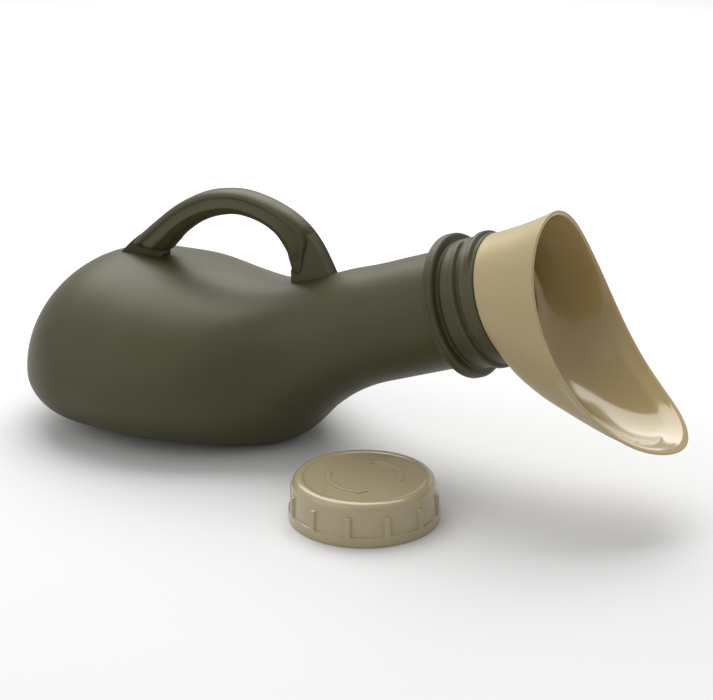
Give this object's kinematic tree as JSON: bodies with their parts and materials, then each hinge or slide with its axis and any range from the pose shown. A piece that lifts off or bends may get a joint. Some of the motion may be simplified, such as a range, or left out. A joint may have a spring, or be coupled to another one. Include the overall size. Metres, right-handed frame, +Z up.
{
  "type": "urine bottle",
  "caption": "Unisex portable urine bottle: flat-based bulb with carrying handle and inclined screw neck, push-fit female adapter funnel, separate screw cap.",
  "frame": {"origin": "centre of the bottle's resting area, on the flat base, in the bottle's symmetry plane", "axes": "+X along the bottle from the bulb towards the neck, +Z up from the flat base, Y = 0 is the bottle's symmetry plane; the cap stands beside the neck at negative Y"},
  "size_m": [0.3046, 0.1508, 0.12],
  "materials": {
    "bottle_plastic": "satin blow-moulded polyethylene, dark olive brown",
    "adapter_plastic": "smooth glossy moulded polypropylene, khaki tan",
    "cap_plastic": "semi-gloss moulded polypropylene, khaki tan",
    "seal_rubber": "soft black elastomer",
    "liner_foam": "off-white closed-cell polyethylene foam"
  },
  "bodies": {
    "bottle": {"bottle_shell": "bottle_plastic", "carry_handle": "bottle_plastic"},
    "seal_ring": {"adapter_seal_ring": "seal_rubber"},
    "adapter": {"female_adapter": "adapter_plastic"},
    "sealing_disc": {"cap_liner": "liner_foam"},
    "cap": {"screw_cap": "cap_plastic"}
  },
  "joints": [
    {"name": "adapter_pull", "type": "slide", "parent": "bottle", "child": "seal_ring", "axis": [0.9373, 0, 0.3486], "range_m": [0, 0.06]},
    {"name": "adapter_turn", "type": "hinge", "parent": "seal_ring", "child": "adapter", "pos_m": [0.1589, 0, 0.0818], "axis": [0.9373, 0, 0.3486], "continuous": true},
    {"name": "cap_lift", "type": "slide", "parent": "bottle", "child": "sealing_disc", "axis": [0, 0, 1], "range_m": [0, 0.025]},
    {"name": "cap_turn", "type": "hinge", "parent": "sealing_disc", "child": "cap", "pos_m": [0.125, -0.057, 0], "axis": [0, 0, 1], "continuous": true}
  ]
}
